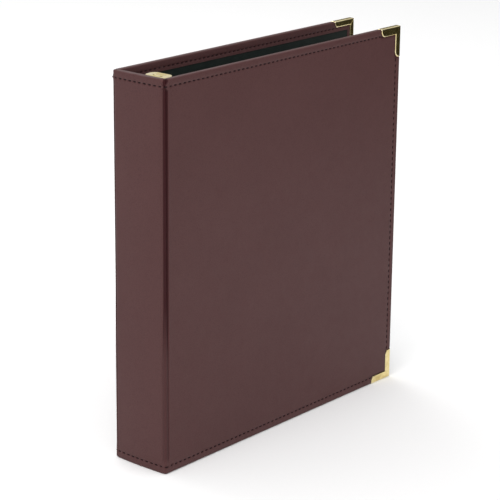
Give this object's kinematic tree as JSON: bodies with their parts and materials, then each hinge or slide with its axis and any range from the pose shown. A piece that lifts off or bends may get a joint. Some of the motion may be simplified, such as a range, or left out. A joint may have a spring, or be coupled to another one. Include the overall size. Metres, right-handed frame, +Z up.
{
  "type": "coin album",
  "caption": "Ring-bound album with two hinged leatherette covers, metal corners, an opening ring mechanism and pocket pages.",
  "frame": {"origin": "middle of the base that the closed album stands on", "axes": "+X from the spine to the fore-edge, +Y from the front cover to the rear cover, +Z up along the spine"},
  "size_m": [0.27, 0.0512, 0.292],
  "materials": {
    "leatherette": "dark burgundy leatherette with a fine grain",
    "board": "grey bookbinding board",
    "lining": "near-black textured lining",
    "corner_metal": "polished brass plate",
    "ring_metal": "polished brass-plated steel",
    "page_vinyl": "clear soft vinyl with welded seams"
  },
  "bodies": {
    "spine": {"spine_board": "board", "spine_leather": "leatherette", "spine_lining": "lining", "front_hinge_leather": "leatherette", "front_hinge_lining": "lining", "rear_hinge_leather": "leatherette", "rear_hinge_lining": "lining", "ring_housing": "ring_metal", "top_rivet": "ring_metal", "bottom_rivet": "ring_metal", "top_lever_pin": "ring_metal", "bottom_lever_pin": "ring_metal"},
    "front_cover": {"front_cover_board": "board", "front_cover_leather": "leatherette", "front_cover_lining": "lining", "front_top_corner": "corner_metal", "front_bottom_corner": "corner_metal"},
    "rear_cover": {"rear_cover_board": "board", "rear_cover_leather": "leatherette", "rear_cover_lining": "lining", "rear_top_corner": "corner_metal", "rear_bottom_corner": "corner_metal"},
    "front_rings": {"front_blade": "ring_metal", "front_ring_top": "ring_metal", "front_ring_middle": "ring_metal", "front_ring_bottom": "ring_metal"},
    "rear_rings": {"rear_blade": "ring_metal", "rear_ring_top": "ring_metal", "rear_ring_middle": "ring_metal", "rear_ring_bottom": "ring_metal"},
    "top_lever": {"top_lever": "ring_metal"},
    "bottom_lever": {"bottom_lever": "ring_metal"},
    "coin_page_1": {"coin_page_1": "page_vinyl"},
    "coin_page_2": {"coin_page_2": "page_vinyl"},
    "coin_page_3": {"coin_page_3": "page_vinyl"},
    "coin_page_4": {"coin_page_4": "page_vinyl"}
  },
  "joints": [
    {"name": "front_cover_hinge", "type": "hinge", "parent": "spine", "child": "front_cover", "pos_m": [-0.1322, -0.0233, 0.146], "axis": [0, 0, -1], "range_deg": [0, 180], "deforming": ["front_hinge_leather", "front_hinge_lining"]},
    {"name": "rear_cover_hinge", "type": "hinge", "parent": "spine", "child": "rear_cover", "pos_m": [-0.1322, 0.0233, 0.146], "axis": [0, 0, 1], "range_deg": [0, 180], "deforming": ["rear_hinge_leather", "rear_hinge_lining"]},
    {"name": "front_rings_open", "type": "hinge", "parent": "spine", "child": "front_rings", "pos_m": [-0.1278, -0.012, 0.146], "axis": [0, 0, -1], "range_deg": [0, 11]},
    {"name": "rear_rings_open", "type": "hinge", "parent": "spine", "child": "rear_rings", "pos_m": [-0.1278, 0.012, 0.146], "axis": [0, 0, 1], "range_deg": [0, 11]},
    {"name": "top_lever_press", "type": "hinge", "parent": "spine", "child": "top_lever", "pos_m": [-0.1278, 0, 0.2675], "axis": [0, -1, 0], "range_deg": [0, 22]},
    {"name": "bottom_lever_press", "type": "hinge", "parent": "spine", "child": "bottom_lever", "pos_m": [-0.1278, 0, 0.0245], "axis": [0, 1, 0], "range_deg": [0, 22]},
    {"name": "coin_page_1_turn", "type": "hinge", "parent": "spine", "child": "coin_page_1", "pos_m": [-0.1122, 0, 0.146], "axis": [0, 0, -1], "range_deg": [0, 90]},
    {"name": "coin_page_2_turn", "type": "hinge", "parent": "spine", "child": "coin_page_2", "pos_m": [-0.1122, 0, 0.146], "axis": [0, 0, -1], "range_deg": [0, 75]},
    {"name": "coin_page_3_turn", "type": "hinge", "parent": "spine", "child": "coin_page_3", "pos_m": [-0.1122, 0, 0.146], "axis": [0, 0, 1], "range_deg": [0, 75]},
    {"name": "coin_page_4_turn", "type": "hinge", "parent": "spine", "child": "coin_page_4", "pos_m": [-0.1122, 0, 0.146], "axis": [0, 0, 1], "range_deg": [0, 90]}
  ],
  "couplings": [
    {"joint": "rear_rings_open", "follows": "front_rings_open", "ratio": 1},
    {"joint": "top_lever_press", "follows": "front_rings_open", "ratio": 2},
    {"joint": "bottom_lever_press", "follows": "front_rings_open", "ratio": 2},
    {"joint": "coin_page_1_turn", "follows": "front_cover_hinge", "ratio": 0.5},
    {"joint": "coin_page_2_turn", "follows": "front_cover_hinge", "ratio": 0.41667},
    {"joint": "coin_page_3_turn", "follows": "rear_cover_hinge", "ratio": 0.41667},
    {"joint": "coin_page_4_turn", "follows": "rear_cover_hinge", "ratio": 0.5}
  ]
}
